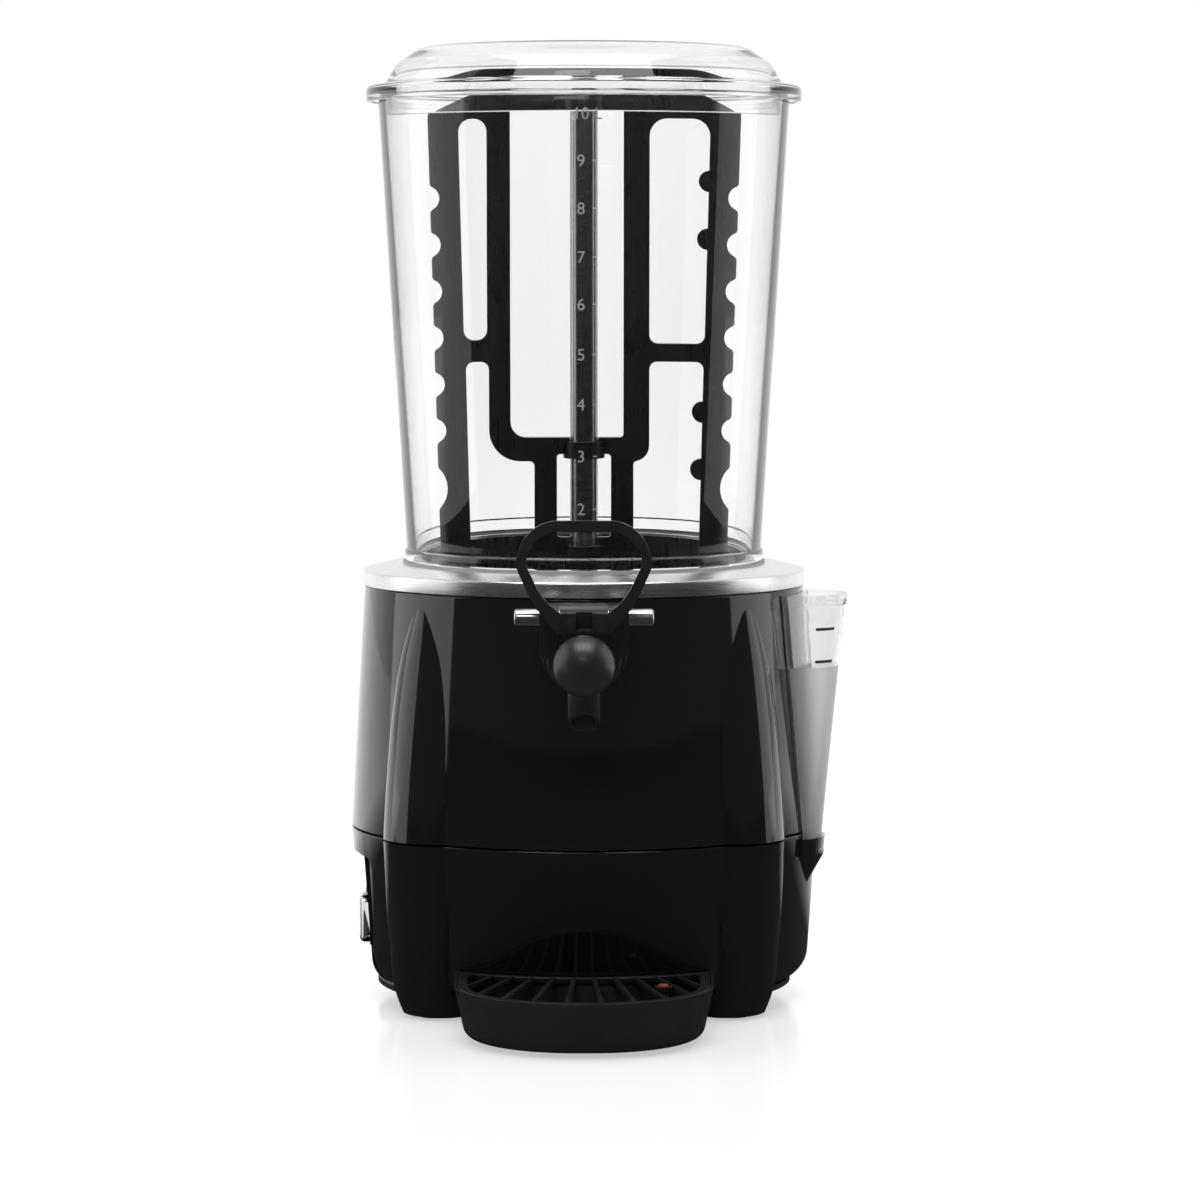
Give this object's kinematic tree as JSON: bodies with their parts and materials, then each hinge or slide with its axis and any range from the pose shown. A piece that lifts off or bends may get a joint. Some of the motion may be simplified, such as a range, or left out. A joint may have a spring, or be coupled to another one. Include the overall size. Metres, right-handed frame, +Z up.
{
  "type": "hot drink dispenser",
  "caption": "Round heated dispenser with a clear lift-off tank, turning paddle, finger-loop tap over a drip tray, side water gauge and switch.",
  "frame": {"origin": "on the table under the tank's axis", "axes": "+Z up along the tank's axis, -Y out of the tap, +X to the right seen from the front"},
  "size_m": [0.2837, 0.3628, 0.5445],
  "materials": {
    "gloss_black": "polished black moulding",
    "satin_black": "satin black moulding",
    "clear_plastic": "clear polished plastic",
    "steel": "brushed stainless steel",
    "dark_steel": "dark coated pressing",
    "rubber": "black moulded rubber",
    "seal": "grey silicone",
    "amber": "amber lit rocker",
    "float_red": "red float",
    "white_nylon": "white nylon",
    "motor_steel": "zinc plated case"
  },
  "bodies": {
    "base": {"upper_shell": "gloss_black", "lower_shell": "gloss_black", "base_plate": "satin_black", "rubber_feet": "rubber", "base_screws": "steel", "top_ring": "steel", "product_bowl": "dark_steel", "bath_gasket": "seal", "bath_tub": "steel", "outlet_grommet": "rubber", "heating_element": "steel", "tank_gasket": "seal", "center_tube": "steel", "tube_nut": "steel", "shaft_bushes": "white_nylon", "motor_bracket": "motor_steel", "gearbox": "motor_steel", "motor": "motor_steel", "tap_body": "satin_black", "tap_pin": "steel", "water_gauge": "clear_plastic", "gauge_socket": "gloss_black", "bath_hose": "seal", "switch_frame": "satin_black", "switch_boot": "clear_plastic", "thermostat": "white_nylon", "cord_gland": "satin_black", "terminal_block": "white_nylon"},
    "tank": {"tank": "clear_plastic"},
    "lid": {"lid": "clear_plastic"},
    "agitator": {"output_shaft": "steel", "shaft_coupling": "steel", "drive_shaft": "steel", "paddle": "satin_black"},
    "tap_lever": {"tap_lever": "satin_black", "tap_ball": "satin_black"},
    "plunger": {"plunger": "satin_black", "plunger_seal": "seal", "tap_spring": "steel"},
    "drip_tray": {"drip_tray": "satin_black"},
    "drip_grille": {"drip_grille": "satin_black"},
    "float": {"float": "float_red"},
    "rocker": {"rocker": "amber"},
    "thermostat_knob": {"thermostat_knob": "satin_black"}
  },
  "joints": [
    {"name": "tank_lift", "type": "slide", "parent": "base", "child": "tank", "axis": [0, 0, 1], "range_m": [0, 0.12]},
    {"name": "lid_lift", "type": "slide", "parent": "tank", "child": "lid", "axis": [0, 0, 1], "range_m": [0, 0.06]},
    {"name": "agitator_turn", "type": "hinge", "parent": "base", "child": "agitator", "pos_m": [0, 0, 0.3], "axis": [0, 0, 1], "continuous": true},
    {"name": "tap_lever_pull", "type": "hinge", "parent": "base", "child": "tap_lever", "pos_m": [0, -0.172, 0.231], "axis": [1, 0, 0], "range_deg": [0, 12], "stiffness_Nm_per_rad": 0.6, "springref_deg": -5.73},
    {"name": "plunger_push", "type": "slide", "parent": "base", "child": "plunger", "axis": [0, 1, 0], "range_m": [0, 0.005], "deforming": ["tap_spring"]},
    {"name": "tray_slide", "type": "slide", "parent": "base", "child": "drip_tray", "axis": [0, -1, 0], "range_m": [0, 0.06]},
    {"name": "grille_lift", "type": "slide", "parent": "drip_tray", "child": "drip_grille", "axis": [0, 0, 1], "range_m": [0, 0.03]},
    {"name": "float_rise", "type": "slide", "parent": "drip_tray", "child": "float", "axis": [0, 0, 1], "range_m": [0, 0.006]},
    {"name": "rocker_press", "type": "hinge", "parent": "base", "child": "rocker", "pos_m": [-0.1175, -0.018, 0.047], "axis": [0, -1, 0], "range_deg": [0, 20]},
    {"name": "knob_turn", "type": "hinge", "parent": "base", "child": "thermostat_knob", "pos_m": [-0.1205, 0.032, 0.047], "axis": [-1, 0, 0], "range_deg": [0, 270]}
  ],
  "couplings": [
    {"joint": "plunger_push", "follows": "tap_lever_pull", "m_per_rad": 0.0235}
  ]
}
